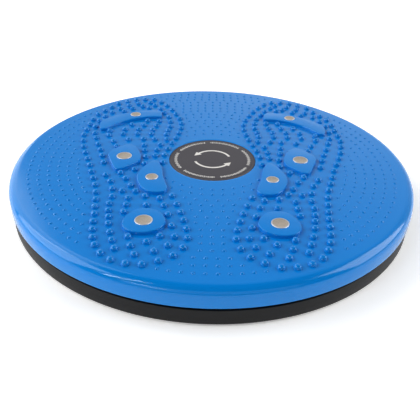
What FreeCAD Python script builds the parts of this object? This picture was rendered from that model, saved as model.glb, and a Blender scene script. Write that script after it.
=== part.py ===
import FreeCAD, Part
import math
import os

import Sketcher

# Waist twisting disc: a round platform that a person stands on and twists.
# The frame has its origin on the floor under the centre, +Z up and the toes towards +Y.
# A blue moulded top turns on a ring of steel balls that run in a black moulded base.
# A retainer spaces the balls, and a bolt through a flanged bush holds the two halves together.

# Driving sizes in millimetres, with counts and angles where the meaning says so.
SIZES = [
    ("disc_radius", 125.0, "outer radius of the top"),
    ("top_height", 23.0, "height of the standing face above the floor"),
    ("plate_wall", 3.0, "thickness of the top plate"),
    ("skirt_wall", 2.8, "thickness of the skirt under the rim"),
    ("skirt_bottom", 11.8, "height of the lower edge of the skirt"),
    ("rim_round", 5.0, "rounding of the rim"),
    ("skirt_inner_round", 2.0, "fillet between plate and skirt"),
    ("base_setback", 0.7, "how far the base stands back under the rim"),
    ("base_lift", 1.0, "gap between base and floor, held by the feet"),
    ("base_floor", 3.0, "thickness of the base floor"),
    ("base_wall", 3.0, "thickness of the base wall"),
    ("base_edge_round", 1.2, "rounding of the lower edge of the base"),
    ("rim_gap", 0.6, "gap between skirt and base rim"),
    ("rim_flange", 2.8, "thickness of the flange round the base rim"),
    ("lip_wall", 2.4, "thickness of the dust lip inside the skirt"),
    ("lip_rise", 3.0, "height of the dust lip above the rim"),
    ("lip_clearance", 0.9, "gap between dust lip and skirt"),
    ("ball_radius", 3.0, "radius of a bearing ball"),
    ("ball_count", 16, "count of bearing balls"),
    ("race_inset", 35.0, "distance from the rim to the circle of balls"),
    ("race_width", 12.0, "width of each race ring"),
    ("ball_height", 12.5, "height of the ball centres"),
    ("race_opening", 2.6, "gap between the two race rings"),
    ("track_clearance", 0.15, "gap between a ball and its track"),
    ("retainer_wall", 1.6, "thickness of the ball retainer"),
    ("retainer_width", 10.4, "width of the ball retainer"),
    ("retainer_clearance", 0.2, "gap between a ball and its hole"),
    ("window_length", 13.0, "length of a window between two balls"),
    ("window_width", 4.0, "width of a window between two balls"),
    ("hub_radius", 13.0, "outer radius of both hubs"),
    ("hub_web", 3.0, "thickness of the web in each hub"),
    ("nut_pocket_radius", 9.0, "radius of the pocket round the nut"),
    ("head_pocket_radius", 8.0, "radius of the pocket round the bolt head"),
    ("bolt_radius", 3.0, "radius of the bolt's shank"),
    ("bolt_length", 16.0, "length of the bolt under its head"),
    ("bolt_head_height", 4.0, "height of the bolt's head"),
    ("bolt_across_flats", 10.0, "width of bolt head and nut across flats"),
    ("bolt_clearance", 0.1, "gap round the bolt in the top's web and in the bush"),
    ("head_headroom", 0.5, "gap between bolt head and label"),
    ("nut_height", 4.5, "height of the nut's hexagon"),
    ("nut_collar_height", 1.0, "height of the nut's locking collar"),
    ("nut_collar_wall", 1.6, "thickness of the nut's locking collar"),
    ("thread_clearance", 0.05, "gap between bolt and nut"),
    ("washer_radius", 6.0, "outer radius of the washers"),
    ("washer_wall", 1.6, "thickness of the washers"),
    ("bush_wall", 2.0, "wall of the bush"),
    ("bush_fit", 0.02, "gap between bush and hub"),
    ("bush_flange_radius", 9.0, "radius of the bush's flange"),
    ("bush_flange_wall", 1.0, "thickness of the bush's flange"),
    ("running_clearance", 0.1, "play of the hub faces on the bush"),
    ("label_radius", 27.5, "radius of the centre label"),
    ("label_wall", 1.0, "thickness of the centre label"),
    ("label_clearance", 0.15, "gap round the label"),
    ("label_bevel", 0.25, "bevel of the label's edge"),
    ("rib_count", 12, "count of radial ribs"),
    ("rib_wall", 2.0, "thickness of a rib"),
    ("rib_bite", 0.6, "how far a rib runs into the rings that it joins"),
    ("top_rib_depth", 5.5, "depth of the inner ribs under the plate"),
    ("lip_headroom", 2.2, "gap between the dust lip and the outer ribs above it"),
    ("base_rib_height", 4.0, "height of the ribs above the base floor"),
    ("pad_height", 2.0, "height of the raised pads"),
    ("pad_round", 0.7, "rounding of the pads' upper edge"),
    ("magnet_radius", 5.0, "radius of the magnets in the ball and heel pads"),
    ("small_magnet_radius", 4.0, "radius of the magnets in the toe and arch pads"),
    ("magnet_height", 3.0, "height of a magnet"),
    ("magnet_proud", 0.2, "how far a magnet stands out of its pad"),
    ("magnet_clearance", 0.08, "gap round a magnet"),
    ("magnet_bevel", 0.35, "bevel of a magnet's edges"),
    ("nub_radius", 2.1, "radius and height of a massage nub"),
    ("nub_sides", 6, "count of sides of a massage nub"),
    ("nub_shoulder_turn", 42.0, "angle from a nub's foot up to its shoulder in degrees"),
    ("foot_count", 6, "count of rubber feet"),
    ("foot_radius", 8.0, "radius of a rubber foot"),
    ("foot_inset", 18.3, "distance from the base's edge to the middle of a foot"),
    ("foot_recess", 1.2, "depth of the recess that holds a foot"),
    ("foot_clearance", 0.1, "gap round a foot in its recess"),
    ("foot_bevel", 0.4, "bevel of a foot's edges"),
    ("foot_turn", 30.0, "angle of the first foot in degrees"),
]

# Poles of the smooth outlines of the raised pads on the right foot, in shares of the disc's
# radius, anticlockwise. An outline rounds each pole and touches the sides between them.
PAD_POLE_SHARES = {
    "toe": [(0.296, 0.483), (0.352, 0.491), (0.424, 0.472), (0.492, 0.432), (0.557, 0.376),
            (0.606, 0.294), (0.638, 0.302), (0.643, 0.355), (0.651, 0.408), (0.608, 0.462),
            (0.540, 0.518), (0.464, 0.558), (0.384, 0.582), (0.315, 0.589), (0.304, 0.540)],
    "ball": [(0.360, -0.067), (0.404, -0.106), (0.456, -0.165), (0.486, -0.147), (0.507, -0.076),
             (0.546, 0.004), (0.516, 0.064), (0.444, 0.139), (0.396, 0.088), (0.365, 0.004)],
    "arch": [(0.243, -0.136), (0.242, -0.192), (0.221, -0.272), (0.196, -0.344), (0.256, -0.371),
             (0.317, -0.349), (0.350, -0.280), (0.368, -0.208), (0.346, -0.136), (0.312, -0.062),
             (0.278, -0.048), (0.263, -0.090)],
    "heel": [(0.199, -0.557), (0.189, -0.613), (0.229, -0.669), (0.307, -0.685), (0.373, -0.653),
             (0.379, -0.584), (0.347, -0.517), (0.293, -0.490), (0.232, -0.507)],
}

# Centres of the four magnets of the right foot, in shares of the disc's radius.
MAGNET_SHARES = {
    "toe": (0.458, 0.512),
    "ball": (0.450, -0.018),
    "arch": (0.289, -0.225),
    "heel": (0.287, -0.590),
}

# Centres of the massage nubs of the right foot, row by row, in shares of the disc's radius.
NUB_ROW_SHARES = {
    "toe_edge": [(0.325, 0.744), (0.374, 0.784), (0.432, 0.782), (0.486, 0.768), (0.538, 0.739),
                 (0.589, 0.699), (0.621, 0.639), (0.653, 0.583), (0.683, 0.527)],
    "outer_edge": [(0.700, 0.450), (0.704, 0.378), (0.708, 0.307), (0.710, 0.239), (0.698, 0.168),
                   (0.682, 0.097), (0.659, 0.031), (0.634, -0.036), (0.609, -0.103), (0.588, -0.169),
                   (0.568, -0.231), (0.547, -0.293), (0.532, -0.358), (0.521, -0.420), (0.513, -0.478),
                   (0.505, -0.534)],
    "heel_edge": [(0.499, -0.592), (0.491, -0.648), (0.480, -0.702), (0.462, -0.752), (0.431, -0.803),
                  (0.385, -0.841), (0.326, -0.862), (0.263, -0.866), (0.203, -0.842), (0.150, -0.808),
                  (0.114, -0.757), (0.099, -0.694), (0.105, -0.630), (0.120, -0.568), (0.136, -0.507),
                  (0.157, -0.444), (0.183, -0.374)],
    "inner_edge": [(0.251, -0.057), (0.248, 0.024), (0.236, 0.094), (0.218, 0.162), (0.200, 0.228),
                   (0.189, 0.292), (0.180, 0.357), (0.180, 0.423), (0.194, 0.491), (0.220, 0.558),
                   (0.248, 0.624), (0.285, 0.689)],
    "second_outer": [(0.393, 0.732), (0.465, 0.709), (0.519, 0.673), (0.567, 0.622), (0.606, 0.560),
                     (0.637, 0.497), (0.660, 0.432), (0.668, 0.350), (0.653, 0.264), (0.635, 0.205),
                     (0.611, 0.130), (0.587, 0.066), (0.567, 0.000), (0.546, -0.072)],
    "second_heel": [(0.514, -0.198), (0.482, -0.256), (0.462, -0.325), (0.452, -0.392), (0.455, -0.452),
                    (0.450, -0.506), (0.441, -0.553), (0.433, -0.605), (0.417, -0.666), (0.400, -0.719),
                    (0.382, -0.772), (0.300, -0.807), (0.226, -0.784), (0.175, -0.745), (0.152, -0.686),
                    (0.168, -0.611), (0.189, -0.529), (0.213, -0.457), (0.237, -0.397)],
    "second_inner": [(0.295, 0.013), (0.292, 0.078), (0.280, 0.142), (0.250, 0.209), (0.257, 0.271),
                     (0.253, 0.322), (0.243, 0.378), (0.246, 0.443), (0.260, 0.511), (0.292, 0.573),
                     (0.320, 0.630), (0.360, 0.689)],
    "ball_one": [(0.313, 0.449), (0.322, 0.385), (0.340, 0.326), (0.342, 0.272), (0.317, 0.208)],
    "ball_two": [(0.381, 0.449), (0.395, 0.386), (0.418, 0.327), (0.418, 0.270), (0.378, 0.206),
                 (0.365, 0.131), (0.356, 0.070), (0.342, -0.003), (0.341, -0.075), (0.383, -0.137)],
    "ball_three": [(0.465, 0.389), (0.495, 0.323), (0.497, 0.264), (0.458, 0.196)],
    "ball_four": [(0.577, 0.298), (0.572, 0.240), (0.536, 0.168), (0.509, 0.110)],
    "toe_bow": [(0.393, 0.644), (0.433, 0.666), (0.491, 0.626), (0.536, 0.580)],
    "arch_side": [(0.446, -0.175), (0.414, -0.228), (0.381, -0.290), (0.352, -0.341), (0.305, -0.382)],
    "heel_side": [(0.415, -0.341), (0.379, -0.401), (0.380, -0.458), (0.384, -0.514)],
    "heel_front": [(0.290, -0.455), (0.211, -0.684), (0.261, -0.725), (0.322, -0.752), (0.339, -0.692)],
}

FULL_TURN = 360.0
OUTLINE_DEGREE = 3


class Size:
    """A length from the sheet, or a sum of such lengths: its number and its expression."""

    def __init__(self, value, text):
        self.value = value
        self.text = text

    def joined(self, other, sign, value):
        text = other.text if isinstance(other, Size) else str(other)
        return Size(value, "(" + self.text + " " + sign + " " + text + ")")

    def __add__(self, other):
        return self.joined(other, "+", self.value + number(other))

    def __sub__(self, other):
        return self.joined(other, "-", self.value - number(other))

    def __mul__(self, other):
        return self.joined(other, "*", self.value * number(other))

    def __truediv__(self, other):
        return self.joined(other, "/", self.value / number(other))


def number(item):
    return item.value if isinstance(item, Size) else item


ZERO = Size(0.0, "0 mm")


class Sheet:
    """The spreadsheet of driving sizes; each size is read as an attribute of its own name."""

    def __init__(self, doc):
        self.cells = doc.addObject("Spreadsheet::Sheet", "sizes")
        for row, (alias, value, meaning) in enumerate(SIZES, start=1):
            self.cells.set("A" + str(row), alias)
            self.cells.set("B" + str(row), str(value))
            self.cells.set("C" + str(row), meaning)
            self.cells.setAlias("B" + str(row), alias)
        doc.recompute()

    def __getattr__(self, alias):
        return Size(float(self.cells.get(alias)), "sizes." + alias)

    def count(self, alias):
        return int(round(float(self.cells.get(alias))))


class Levels:
    """Heights and radii that follow from the driving sizes, named once for every piece."""

    def __init__(self, size):
        # The top's plate and the pocket under the label.
        self.plate_under = size.top_height - size.plate_wall
        self.label_floor = size.top_height - size.label_wall
        self.label_recess = size.label_radius + size.label_clearance
        self.skirt_inner = size.disc_radius - size.skirt_wall
        self.pad_top = size.top_height + size.pad_height
        # The stack along the bolt, from the head down to the nut.
        self.head_under = self.label_floor - size.head_headroom - size.bolt_head_height
        self.top_web_upper = self.head_under - size.washer_wall
        self.top_web_under = self.top_web_upper - size.hub_web
        self.flange_upper = self.top_web_under - size.running_clearance
        self.base_web_upper = self.flange_upper - size.bush_flange_wall
        self.base_web_under = self.base_web_upper - size.hub_web
        self.nut_washer_upper = self.base_web_under - size.running_clearance
        self.nut_upper = self.nut_washer_upper - size.washer_wall
        self.nut_under = self.nut_upper - size.nut_height
        self.bolt_hole = size.bolt_radius + size.bolt_clearance
        self.bush_outer = self.bolt_hole + size.bush_wall
        # The base's floor, rim and dust lip.
        self.base_radius = size.disc_radius - size.base_setback
        self.floor_top = size.base_lift + size.base_floor
        self.base_wall_inner = self.base_radius - size.base_wall
        self.rim_top = size.skirt_bottom - size.rim_gap
        self.flange_under = self.rim_top - size.rim_flange
        self.lip_top = self.rim_top + size.lip_rise
        self.lip_outer = self.skirt_inner - size.lip_clearance
        self.lip_inner = self.lip_outer - size.lip_wall
        self.outer_rib_under = self.lip_top + size.lip_headroom
        self.foot_circle = self.base_radius - size.foot_inset
        # The ball race.
        self.race_radius = size.disc_radius - size.race_inset
        self.race_inner = self.race_radius - size.race_width / 2
        self.race_outer = self.race_radius + size.race_width / 2
        self.race_low_face = size.ball_height - size.race_opening / 2
        self.race_high_face = size.ball_height + size.race_opening / 2
        self.track_radius = size.ball_radius + size.track_clearance


def origin_item(body, role):
    return next(item for item in body.Origin.OriginFeatures if item.Role == role)


def new_sketch(body, name, plane, height=None):
    sketch = body.newObject("Sketcher::SketchObject", name)
    sketch.AttachmentSupport = [(origin_item(body, plane), "")]
    sketch.MapMode = "FlatFace"
    if height is not None:
        sketch.setExpression("AttachmentOffset.Base.z", height.text)
    return sketch


def bind_distance(sketch, kind, geometry, point, distance):
    constraint = Sketcher.Constraint(kind, -1, 1, geometry, point, distance.value)
    index = sketch.addConstraint(constraint)
    sketch.setExpression("Constraints[" + str(index) + "]", distance.text)


def shifted(x, y, other_x, other_y, length):
    """A place moved by a length towards another place that lies along the same axis."""
    if abs(other_x.value - x.value) > abs(other_y.value - y.value):
        return (x + length if other_x.value > x.value else x - length), y
    return x, (y + length if other_y.value > y.value else y - length)


def rounded_points(corners):
    """Points of an outline; a point that holds a radius starts an arc to the next point."""
    points = []
    for index, (x, y, *rounding) in enumerate(corners):
        if not rounding:
            points.append((x, y, None))
            continue
        before = corners[index - 1]
        after = corners[(index + 1) % len(corners)]
        points.append((*shifted(x, y, before[0], before[1], rounding[0]), rounding[0]))
        points.append((*shifted(x, y, after[0], after[1], rounding[0]), None))
    return points


def corner_arc(start, end, before, radius):
    """The arc of a rounded square corner, which leaves its first point as the side before it ran."""
    along = (start - before) / (start - before).Length
    corner = start + along * radius
    centre = start + end - corner
    middle = centre + (corner - centre) / (corner - centre).Length * radius
    return Part.Arc(start, middle, end)


def bound_polygon(sketch, corners):
    """A closed outline bound to the sheet; a third size at a square corner rounds it."""
    points = rounded_points(corners)
    places = [FreeCAD.Vector(x.value, y.value, 0) for x, y, radius in points]
    count = len(points)
    starts = []
    for index, (x, y, radius) in enumerate(points):
        after = places[(index + 1) % count]
        if radius is None:
            side = Part.LineSegment(places[index], after)
        else:
            side = corner_arc(places[index], after, places[index - 1], radius.value)
        sketch.addGeometry(side, False)
        starts.append(1 if (sketch.getPoint(index, 1) - places[index]).Length < 1e-6 else 2)
    for index, (x, y, radius) in enumerate(points):
        after = (index + 1) % count
        sketch.addConstraint(Sketcher.Constraint("Coincident", index, 3 - starts[index], after, starts[after]))
        bind_distance(sketch, "DistanceX", index, starts[index], x)
        bind_distance(sketch, "DistanceY", index, starts[index], y)
        if radius is not None:
            constraint = sketch.addConstraint(Sketcher.Constraint("Radius", index, radius.value))
            sketch.setExpression("Constraints[" + str(constraint) + "]", radius.text)


def bound_circle(sketch, x, y, radius):
    """A circle whose centre and radius are bound to the sheet."""
    centre = FreeCAD.Vector(x.value, y.value, 0)
    geometry = sketch.addGeometry(Part.Circle(centre, FreeCAD.Vector(0, 0, 1), radius.value), False)
    index = sketch.addConstraint(Sketcher.Constraint("Radius", geometry, radius.value))
    sketch.setExpression("Constraints[" + str(index) + "]", radius.text)
    bind_distance(sketch, "DistanceX", geometry, 3, x)
    bind_distance(sketch, "DistanceY", geometry, 3, y)


def bound_box(sketch, x_low, x_high, half_width):
    """A rectangle along X, centred on the X axis."""
    low = half_width * -1
    bound_polygon(sketch, [(x_low, low), (x_high, low), (x_high, half_width), (x_low, half_width)])


def turned(body, name, kind, sketch):
    """A full Revolution or Groove of a sketch about the vertical axis."""
    feature = body.newObject(kind, name)
    feature.Profile = sketch
    feature.ReferenceAxis = (sketch, ["V_Axis"])
    feature.Angle = FULL_TURN
    return feature


def extruded(body, name, kind, sketch, length):
    """A Pad or Pocket of a sketch, as long as the bound size says."""
    feature = body.newObject(kind, name)
    feature.Profile = sketch
    feature.setExpression("Length", length.text)
    return feature


def polar_pattern(body, name, feature, size, alias):
    pattern = body.newObject("PartDesign::PolarPattern", name)
    pattern.Originals = [feature]
    pattern.Axis = (origin_item(body, "Z_Axis"), [""])
    pattern.Angle = FULL_TURN
    pattern.setExpression("Occurrences", "sizes." + alias)
    body.Tip = pattern
    return pattern


def mirrored(body, name, feature):
    """The same feature on the other side of the YZ plane."""
    mirror = body.newObject("PartDesign::Mirrored", name)
    mirror.Originals = [feature]
    mirror.MirrorPlane = (origin_item(body, "YZ_Plane"), [""])
    body.Tip = mirror
    return mirror


def edge_names(shape, wanted):
    """Names of the edges for which the test on each edge holds."""
    return ["Edge" + str(index) for index, edge in enumerate(shape.Edges, start=1) if wanted(edge)]


def at_height(edge, height):
    box = edge.BoundBox
    return abs(box.ZMin - height) < 1e-4 and abs(box.ZMax - height) < 1e-4


def filleted(body, name, base, edges, radius):
    feature = body.newObject("PartDesign::Fillet", name)
    feature.Base = (base, edges)
    feature.setExpression("Radius", radius.text)
    return feature


def turned_body(doc, name, corners):
    """A piece turned from one closed profile of radius and height pairs."""
    body = doc.addObject("PartDesign::Body", name)
    sketch = new_sketch(body, name + "_profile", "XZ_Plane")
    bound_polygon(sketch, corners)
    turned(body, name + "_turned", "PartDesign::Revolution", sketch)
    return body


def pad_outline(shares, size):
    """The closed smooth curve of a pad, pulled towards its poles."""
    radius = size.disc_radius.value
    curve = Part.BSplineCurve()
    curve.buildFromPoles([FreeCAD.Vector(x * radius, y * radius, 0) for x, y in shares],
                         True, OUTLINE_DEGREE)
    return curve


def make_top_moulding(doc, size, level):
    """The blue top without its nubs: plate, skirt, hub, upper race, ribs, pads and pockets."""
    body = doc.addObject("PartDesign::Body", "top_moulding")
    shell = new_sketch(body, "top_shell_profile", "XZ_Plane")
    bound_polygon(shell, [
        (level.bolt_hole, level.top_web_under),
        (size.hub_radius, level.top_web_under),
        (size.hub_radius, level.plate_under),
        (level.race_inner, level.plate_under),
        (level.race_inner, level.race_high_face),
        (level.race_outer, level.race_high_face),
        (level.race_outer, level.plate_under),
        (level.skirt_inner, level.plate_under, size.skirt_inner_round),
        (level.skirt_inner, size.skirt_bottom),
        (size.disc_radius, size.skirt_bottom),
        (size.disc_radius, size.top_height, size.rim_round),
        (level.label_recess, size.top_height),
        (level.label_recess, level.label_floor),
        (size.head_pocket_radius, level.label_floor),
        (size.head_pocket_radius, level.top_web_upper),
        (level.bolt_hole, level.top_web_upper),
    ])
    turned(body, "top_shell", "PartDesign::Revolution", shell)

    track = new_sketch(body, "upper_track_profile", "XZ_Plane")
    bound_circle(track, level.race_radius, size.ball_height, level.track_radius)
    turned(body, "upper_track", "PartDesign::Groove", track)

    inner_ribs = new_sketch(body, "inner_rib_profile", "XY_Plane", level.plate_under - size.top_rib_depth)
    bound_box(inner_ribs, size.hub_radius - size.rib_bite, level.race_inner + size.rib_bite,
              size.rib_wall / 2)
    inner_rib = extruded(body, "inner_rib", "PartDesign::Pad", inner_ribs, size.top_rib_depth)
    polar_pattern(body, "inner_ribs", inner_rib, size, "rib_count")
    outer_ribs = new_sketch(body, "outer_rib_profile", "XY_Plane", level.outer_rib_under)
    bound_box(outer_ribs, level.race_outer - size.rib_bite, level.skirt_inner + size.rib_bite,
              size.rib_wall / 2)
    outer_rib = extruded(body, "outer_rib", "PartDesign::Pad", outer_ribs,
                         level.plate_under - level.outer_rib_under)
    polar_pattern(body, "outer_ribs", outer_rib, size, "rib_count")

    outlines = new_sketch(body, "pad_outlines", "XY_Plane", size.top_height)
    for shares in PAD_POLE_SHARES.values():
        outlines.addGeometry(pad_outline(shares, size), False)
    pads = extruded(body, "pads", "PartDesign::Pad", outlines, size.pad_height)
    both_pads = mirrored(body, "both_pads", pads)
    doc.recompute()
    crests = edge_names(both_pads.Shape, lambda item: at_height(item, level.pad_top.value))
    filleted(body, "pad_crest_fillet", both_pads, crests, size.pad_round)
    doc.recompute()

    sockets = new_sketch(body, "magnet_socket_outlines", "XY_Plane", level.pad_top)
    for pad, (x_share, y_share) in MAGNET_SHARES.items():
        bound_circle(sockets, size.disc_radius * x_share, size.disc_radius * y_share,
                     magnet_size(size, pad) + size.magnet_clearance)
    magnet_sockets = extruded(body, "magnet_sockets", "PartDesign::Pocket", sockets,
                              size.magnet_height - size.magnet_proud)
    mirrored(body, "both_magnet_sockets", magnet_sockets)
    return body


def magnet_size(size, pad):
    return size.small_magnet_radius if pad in ("toe", "arch") else size.magnet_radius


def nub_ring(size, turn):
    """The corners of a nub at an angle above the plate."""
    outwards = size.nub_radius.value * math.cos(turn)
    upwards = size.nub_radius.value * math.sin(turn)
    sides = size.count("nub_sides")
    steps = [2 * math.pi * index / sides for index in range(sides)]
    return [FreeCAD.Vector(outwards * math.cos(step), outwards * math.sin(step), upwards)
            for step in steps]


def make_nub(size):
    """One massage nub: a dome of flat sides with a shoulder between its foot and its crown."""
    foot = nub_ring(size, 0.0)
    shoulder = nub_ring(size, math.radians(size.nub_shoulder_turn.value))
    crown = FreeCAD.Vector(0, 0, size.nub_radius.value)
    outlines = [foot[::-1]]
    for index in range(len(foot)):
        after = (index + 1) % len(foot)
        outlines.append([foot[index], foot[after], shoulder[after], shoulder[index]])
        outlines.append([shoulder[index], shoulder[after], crown])
    faces = [Part.Face(Part.makePolygon(outline + outline[:1])) for outline in outlines]
    return Part.makeSolid(Part.makeShell(faces))


def make_nubs(doc, size):
    """The massage nubs of both feet, copies of one nub that stand on the plate."""
    field = doc.addObject("Part::Feature", "nub_field")
    radius = size.disc_radius.value
    nub = make_nub(size)
    nubs = []
    for side in (1, -1):
        for row in NUB_ROW_SHARES.values():
            for x_share, y_share in row:
                nubs.append(nub.translated(FreeCAD.Vector(
                    side * x_share * radius, y_share * radius, size.top_height.value)))
    field.Shape = Part.makeCompound(nubs)
    return field


def make_top_disc(doc, size, level):
    moulding = make_top_moulding(doc, size, level)
    nubs = make_nubs(doc, size)
    top = doc.addObject("Part::Fuse", "top_disc")
    top.Base = moulding
    top.Tool = nubs
    return [top]


def make_base_disc(doc, size, level):
    """The black base: floor, wall with dust lip, hub, lower race, ribs and foot recesses."""
    body = doc.addObject("PartDesign::Body", "base_disc")
    shell = new_sketch(body, "base_shell_profile", "XZ_Plane")
    bound_polygon(shell, [
        (size.nut_pocket_radius, size.base_lift),
        (level.base_radius, size.base_lift, size.base_edge_round),
        (level.base_radius, level.rim_top),
        (level.lip_outer, level.rim_top),
        (level.lip_outer, level.lip_top),
        (level.lip_inner, level.lip_top),
        (level.lip_inner, level.flange_under),
        (level.base_wall_inner, level.flange_under),
        (level.base_wall_inner, level.floor_top),
        (level.race_outer, level.floor_top),
        (level.race_outer, level.race_low_face),
        (level.race_inner, level.race_low_face),
        (level.race_inner, level.floor_top),
        (size.hub_radius, level.floor_top),
        (size.hub_radius, level.base_web_upper),
        (level.bush_outer, level.base_web_upper),
        (level.bush_outer, level.base_web_under),
        (size.nut_pocket_radius, level.base_web_under),
    ])
    turned(body, "base_shell", "PartDesign::Revolution", shell)

    track = new_sketch(body, "lower_track_profile", "XZ_Plane")
    bound_circle(track, level.race_radius, size.ball_height, level.track_radius)
    turned(body, "lower_track", "PartDesign::Groove", track)

    inner_ribs = new_sketch(body, "base_inner_rib_profile", "XY_Plane", level.floor_top)
    bound_box(inner_ribs, size.hub_radius - size.rib_bite, level.race_inner + size.rib_bite,
              size.rib_wall / 2)
    inner_rib = extruded(body, "base_inner_rib", "PartDesign::Pad", inner_ribs, size.base_rib_height)
    polar_pattern(body, "base_inner_ribs", inner_rib, size, "rib_count")
    outer_ribs = new_sketch(body, "base_outer_rib_profile", "XY_Plane", level.floor_top)
    bound_box(outer_ribs, level.race_outer - size.rib_bite, level.base_wall_inner + size.rib_bite,
              size.rib_wall / 2)
    outer_rib = extruded(body, "base_outer_rib", "PartDesign::Pad", outer_ribs, size.base_rib_height)
    polar_pattern(body, "base_outer_ribs", outer_rib, size, "rib_count")

    recess = new_sketch(body, "foot_recess_outline", "XY_Plane", size.base_lift)
    turn = math.radians(size.foot_turn.value)
    bound_circle(recess, level.foot_circle * math.cos(turn), level.foot_circle * math.sin(turn),
                 size.foot_radius + size.foot_clearance)
    pocket = extruded(body, "foot_recess", "PartDesign::Pocket", recess, size.foot_recess)
    pocket.Reversed = True
    polar_pattern(body, "foot_recesses", pocket, size, "foot_count")
    return [body]


def make_feet(doc, size, level):
    """Rubber feet in the recesses of the base, each a bevelled disc with a hollow underside."""
    feet = []
    height = size.base_lift + size.foot_recess
    hollow_radius = size.foot_radius / 2
    hollow_depth = size.foot_bevel
    for index in range(size.count("foot_count")):
        body = turned_body(doc, "rubber_foot_" + str(index + 1), [
            (ZERO, hollow_depth),
            (hollow_radius, hollow_depth),
            (hollow_radius + size.foot_bevel, ZERO),
            (size.foot_radius - size.foot_bevel, ZERO),
            (size.foot_radius, size.foot_bevel),
            (size.foot_radius, height),
            (ZERO, height),
        ])
        turn = math.radians(size.foot_turn.value + FULL_TURN * index / size.count("foot_count"))
        body.Placement.Base = FreeCAD.Vector(level.foot_circle.value * math.cos(turn),
                                             level.foot_circle.value * math.sin(turn), 0)
        feet.append(body)
    return feet


def make_bush(doc, size, level):
    """The flanged bush in the base's hub, on which the top's hub turns."""
    outer = level.bush_outer - size.bush_fit
    return [turned_body(doc, "centre_bush", [
        (level.bolt_hole, level.base_web_under),
        (outer, level.base_web_under),
        (outer, level.base_web_upper),
        (size.bush_flange_radius, level.base_web_upper),
        (size.bush_flange_radius, level.flange_upper),
        (level.bolt_hole, level.flange_upper),
    ])]


def make_retainer(doc, size, level):
    """The flat ring that spaces the balls, with a window between each two of them."""
    body = doc.addObject("PartDesign::Body", "ball_retainer")
    low = size.ball_height - size.retainer_wall / 2
    ring = new_sketch(body, "retainer_outline", "XY_Plane", low)
    bound_circle(ring, ZERO, ZERO, level.race_radius + size.retainer_width / 2)
    bound_circle(ring, ZERO, ZERO, level.race_radius - size.retainer_width / 2)
    extruded(body, "retainer_ring", "PartDesign::Pad", ring, size.retainer_wall)
    hole = new_sketch(body, "ball_hole_outline", "XY_Plane", low)
    bound_circle(hole, level.race_radius, ZERO, size.ball_radius + size.retainer_clearance)
    ball_hole = extruded(body, "ball_hole", "PartDesign::Pocket", hole, size.retainer_wall)
    ball_hole.Reversed = True
    polar_pattern(body, "ball_holes", ball_hole, size, "ball_count")
    window = new_sketch(body, "window_outline", "XY_Plane", low)
    half_step = math.pi / size.count("ball_count")
    corners = []
    for along, outward in ((-1, -1), (-1, 1), (1, 1), (1, -1)):
        sideways = size.window_length * (along / 2)
        outwards = level.race_radius + size.window_width * (outward / 2)
        corners.append((outwards * math.cos(half_step) - sideways * math.sin(half_step),
                        outwards * math.sin(half_step) + sideways * math.cos(half_step)))
    bound_polygon(window, corners)
    opening = extruded(body, "window", "PartDesign::Pocket", window, size.retainer_wall)
    opening.Reversed = True
    polar_pattern(body, "windows", opening, size, "ball_count")
    return [body]


def make_balls(doc, size, level):
    """The ring of steel balls between the two races."""
    balls = []
    for index in range(size.count("ball_count")):
        ball = doc.addObject("Part::Sphere", "ball_" + str(index + 1))
        ball.setExpression("Radius", size.ball_radius.text)
        turn = 2 * math.pi * index / size.count("ball_count")
        ball.Placement.Base = FreeCAD.Vector(level.race_radius.value * math.cos(turn),
                                             level.race_radius.value * math.sin(turn),
                                             size.ball_height.value)
        balls.append(ball)
    group = doc.addObject("Part::Compound", "bearing_balls")
    group.Links = balls
    return [group]


def make_label(doc, size, level):
    """The flat disc that covers the bolt, flush in the middle of the top."""
    return [turned_body(doc, "centre_label", [
        (ZERO, level.label_floor),
        (size.label_radius, level.label_floor),
        (size.label_radius, size.top_height - size.label_bevel),
        (size.label_radius - size.label_bevel, size.top_height),
        (ZERO, size.top_height),
    ])]


def make_magnets(doc, size, level):
    """Eight round magnets, one in the middle of each raised pad."""
    magnets = []
    top = level.pad_top + size.magnet_proud
    low = top - size.magnet_height
    for side_name, side in (("right", 1), ("left", -1)):
        for pad, (x_share, y_share) in MAGNET_SHARES.items():
            radius = magnet_size(size, pad)
            body = turned_body(doc, side_name + "_" + pad + "_magnet", [
                (ZERO, low),
                (radius - size.magnet_bevel, low),
                (radius, low + size.magnet_bevel),
                (radius, top - size.magnet_bevel),
                (radius - size.magnet_bevel, top),
                (ZERO, top),
            ])
            body.Placement.Base = FreeCAD.Vector(side * x_share * size.disc_radius.value,
                                                 y_share * size.disc_radius.value, 0)
            magnets.append(body)
    return magnets


def add_prism(doc, name, size, height, low):
    """A hexagon that stands upright on the axis, as wide across flats as the bolt's head."""
    prism = doc.addObject("Part::Prism", name)
    prism.Polygon = 6
    prism.setExpression("Circumradius", (size.bolt_across_flats / math.sqrt(3)).text)
    prism.setExpression("Height", height.text)
    prism.setExpression("Placement.Base.z", low.text)
    return prism


def add_cylinder(doc, name, radius, height, low):
    cylinder = doc.addObject("Part::Cylinder", name)
    cylinder.setExpression("Radius", radius.text)
    cylinder.setExpression("Height", height.text)
    cylinder.setExpression("Placement.Base.z", low.text)
    return cylinder


def make_bolt(doc, size, level):
    head = add_prism(doc, "bolt_head", size, size.bolt_head_height, level.head_under)
    shank = add_cylinder(doc, "bolt_shank", size.bolt_radius, size.bolt_length + size.bolt_head_height / 2,
                         level.head_under - size.bolt_length)
    bolt = doc.addObject("Part::Fuse", "centre_bolt")
    bolt.Base = head
    bolt.Tool = shank
    return [bolt]


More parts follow.
